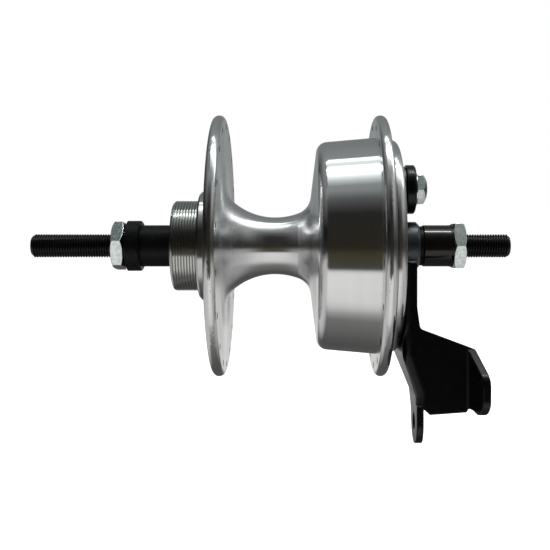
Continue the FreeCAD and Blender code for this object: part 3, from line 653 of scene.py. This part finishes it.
# Brightness round the axle line, by angle: 0 in front, 90 overhead, -90 below and 180 behind.
CLOTH = [
    # pale sheet low behind
    (-180, 0.70), (-171, 0.65), (-163, 0.10),
    # painted shade of the ground under the object, where its own shadow would fall
    (-134, 0.08), (-118, 0.10), (-93, 0.16), (-85, 0.18), (-76, 0.35),
    # pale sheet low in front
    (-68, 0.62), (-60, 0.74), (-43, 0.78), (-30, 0.78), (-27.3, 0.70),
    # dark front, from a sharp lower edge to a soft upper one
    (-23.8, 0.06), (-17, 0.05), (-8, 0.042), (-3, 0.022), (0, 0.02), (34, 0.02), (43, 0.06), (51, 0.11),
    # soft glow below the lamps, and a dim roof above them
    (60, 0.26), (66, 0.28), (72, 0.12), (97, 0.12),
    # soft back wall
    (104, 0.28), (118, 0.26), (134, 0.22), (160, 0.20), (172, 0.28), (180, 0.30),
]
# The two strip lamps of the hood, by the same angle.
LAMPS = [
    (64, 0.28), (70, 0.60), (76, 1.1), (80, 1.9), (83, 4.4), (88, 4.4), (91, 0.9),
    (97, 0.9), (99, 2.9), (101, 2.9), (103, 0.30),
]
# Brightness of the tent's left and right ends, by height: -1 straight below, 1 straight above.
LEFT_END = [
    (-0.60, 0.55), (-0.25, 0.50), (-0.10, 0.05), (0.0, 0.015), (0.25, 0.008), (0.45, 0.06), (0.7, 0.16),
    (0.9, 0.3),
]
RIGHT_END = [
    (-0.60, 0.40), (-0.25, 0.50), (-0.10, 0.10), (0.0, 0.035), (0.2, 0.10), (0.4, 0.30), (0.6, 0.5),
    (0.85, 0.6),
]
# Brightness that full white in a ramp stands for.
GLOW_TOP = 6.0


def tinted(angle, value):
    """Cool light from above, warm light from about the front, and nearly neutral light elsewhere."""
    if angle > 50:
        return (value * 0.93, value, value * 1.01)
    if -20 < angle < 10:
        return (value * 1.14, value * 1.04, value * 0.68)
    return (value * 0.995, value, value * 0.98)


def grey(place, value):
    return (value, value, value)


def ramp_stops(stops, low, high, colour):
    """Stops moved from low..high to 0..1, with their brightness as a share of full white."""
    return [((at - low) / (high - low), colour(at, value / GLOW_TOP)) for at, value in stops]


def angle_round_axle(tree, y, z):
    """0 in front, a quarter turn overhead."""
    return calc(tree, "ARCTAN2", z, calc(tree, "MULTIPLY", y, -1.0))


TENT_R = 3.0
TENT_SEGMENTS = 96
TENT_RINGS = 64
# Share of a direction that lies along X where an end's brightness begins, and where it is full.
LEFT_BLEND = (-0.35, -0.60)
RIGHT_BLEND = (0.40, 0.70)


def tent_finish():
    """Glow of the cloth by direction from the object's middle."""
    m, t = material("tent_cloth")
    unit = t.nodes.new("ShaderNodeVectorMath")
    unit.operation = "NORMALIZE"
    feed(t, unit.inputs[0], object_place(t))
    x, y, z = split(t, unit.outputs[0])
    turn = remap(t, angle_round_axle(t, y, z), -math.pi, math.pi, 0.0, 1.0)
    height = remap(t, z, -1.0, 1.0, 0.0, 1.0)
    tone = ramp(t, turn, ramp_stops(CLOTH, -180, 180, tinted))
    left = ramp(t, height, ramp_stops(LEFT_END, -1, 1, grey))
    right = ramp(t, height, ramp_stops(RIGHT_END, -1, 1, grey))
    tone = mix(t, remap(t, x, *LEFT_BLEND, 0.0, 1.0), tone, left)
    tone = mix(t, remap(t, x, *RIGHT_BLEND, 0.0, 1.0), tone, right)
    output(t, emission(t, GLOW_TOP, tone))
    return m


def tent():
    """Closed studio cloth round the object."""
    mesh = bpy.data.meshes.new("light_tent")
    bm = bmesh.new()
    bmesh.ops.create_uvsphere(bm, u_segments=TENT_SEGMENTS, v_segments=TENT_RINGS, radius=TENT_R)
    bm.to_mesh(mesh)
    bm.free()
    only_reflected(add_object("light_tent", mesh, tent_finish()))


HOOD_R = 0.5
HOOD_ROWS = 24
HOOD_LEFT, HOOD_RIGHT = -0.162, 0.36
# Lengths over which the hood's light fades at its ends, and the share that is left there.
LEFT_FADE, LEFT_REST = 0.012, 0.05
RIGHT_FADE, RIGHT_REST = 0.10, 0.15


def round_place(x, angle, radius):
    """Place at an angle in degrees round the axle line."""
    a = math.radians(angle)
    return (x, -radius * math.cos(a), radius * math.sin(a))


def hood_finish(first, last):
    """Glow of the hood by angle, fading at its ends."""
    m, t = material("hood_glow")
    x, y, z = split(t, object_place(t))
    place = remap(t, angle_round_axle(t, y, z), math.radians(first), math.radians(last), 0.0, 1.0)
    tone = ramp(t, place, ramp_stops(LAMPS, first, last, tinted))
    ends = calc(t, "MULTIPLY", remap(t, x, HOOD_LEFT, HOOD_LEFT + LEFT_FADE, LEFT_REST, 1.0),
                remap(t, x, HOOD_RIGHT - RIGHT_FADE, HOOD_RIGHT, 1.0, RIGHT_REST))
    output(t, emission(t, calc(t, "MULTIPLY", ends, GLOW_TOP), tone))
    return m


def hood():
    """Curved sheet of two strip lamps above the object."""
    first, last = LAMPS[0][0], LAMPS[-1][0]
    verts = []
    for i in range(HOOD_ROWS + 1):
        angle = first + (last - first) * i / HOOD_ROWS
        verts += [round_place(x, angle, HOOD_R) for x in (HOOD_LEFT, HOOD_RIGHT)]
    faces = [(2 * i, 2 * i + 1, 2 * i + 3, 2 * i + 2) for i in range(HOOD_ROWS)]
    only_reflected(add_object("lamp_hood", plain_mesh("lamp_hood", verts, faces), hood_finish(first, last)))


def glow_card(name, corners, strength):
    """Small bright card."""
    m, t = material(name + "_glow")
    output(t, emission(t, strength))
    only_reflected(sheet(name, corners, m))


tent()
hood()

# A bright bar just under the hood, for a glint on the round pieces at the right.
BAR_R = 0.49
BAR_LEFT, BAR_RIGHT = 0.072, 0.15
BAR_FRONT, BAR_REAR = 84, 89
BAR_GLOW = 26.0
bar = [(BAR_LEFT, BAR_FRONT), (BAR_LEFT, BAR_REAR), (BAR_RIGHT, BAR_REAR), (BAR_RIGHT, BAR_FRONT)]
glow_card("bar_lamp", [round_place(x, angle, BAR_R) for x, angle in bar], BAR_GLOW)

# A card up to the right and behind, for the faces that turn that way.
SIDE_AIM = Vector((0.72, 0.20, 0.66)).normalized()
SIDE_AWAY = 0.8
SIDE_HALF = 0.12
SIDE_GLOW = 2.5
across = SIDE_AIM.cross(Vector((0, 0, 1))).normalized() * SIDE_HALF
slant = SIDE_AIM.cross(across).normalized() * SIDE_HALF
glow_card("side_lamp", [tuple(SIDE_AIM * SIDE_AWAY + a * across + b * slant) for a, b in SQUARE], SIDE_GLOW)


def lamp(name, place, aim, width, height, watts):
    """Soft rectangular lamp that doesn't show in reflections."""
    light = bpy.data.lights.new(name, "AREA")
    light.shape = "RECTANGLE"
    light.size = width
    light.size_y = height
    light.energy = watts
    obj = bpy.data.objects.new(name, light)
    obj.location = place
    obj.rotation_euler = (Vector(aim) - Vector(place)).to_track_quat("-Z", "Y").to_euler()
    scene.collection.objects.link(obj)
    obj.visible_glossy = False


LAMP_AIM = (-0.03, 0, 0)
lamp("top_light", (-0.03, 0.05, 1.0), LAMP_AIM, width=0.9, height=0.6, watts=9.0)
lamp("fill_light", (-0.4, -1.2, 0.3), LAMP_AIM, width=0.8, height=0.8, watts=2.0)

# Strength of the world's light on the object. The camera and reflections see full white.
WORLD_LIGHT = 0.35


def world():
    w = bpy.data.worlds.new("studio")
    scene.world = w
    w.use_nodes = True
    t = w.node_tree
    t.nodes.clear()
    seen = seen_by(t, "Is Camera Ray", "Is Transmission Ray", "Is Glossy Ray")
    back = t.nodes.new("ShaderNodeBackground")
    feed(t, back.inputs["Color"], (1.0, 1.0, 1.0))
    strength = calc(t, "ADD", calc(t, "MULTIPLY", seen, 1 - WORLD_LIGHT), WORLD_LIGHT)
    feed(t, back.inputs["Strength"], strength)
    output(t, back, "ShaderNodeOutputWorld")


world()


# Camera

# It stands level with the axle, in front of the barrel.
CAMERA_X = -0.03155
CAMERA_AWAY = 0.341

camera_data = bpy.data.cameras.new("camera")
camera_data.lens = 57.6
camera_data.sensor_width = 36.0
camera_data.shift_x = -0.040
camera_data.shift_y = -0.053
camera = bpy.data.objects.new("camera", camera_data)
camera.location = (CAMERA_X, -CAMERA_AWAY, 0.0)
camera.rotation_euler = (math.radians(90), 0.0, 0.0)
scene.collection.objects.link(camera)
scene.camera = camera
scene.view_settings.view_transform = "Standard"
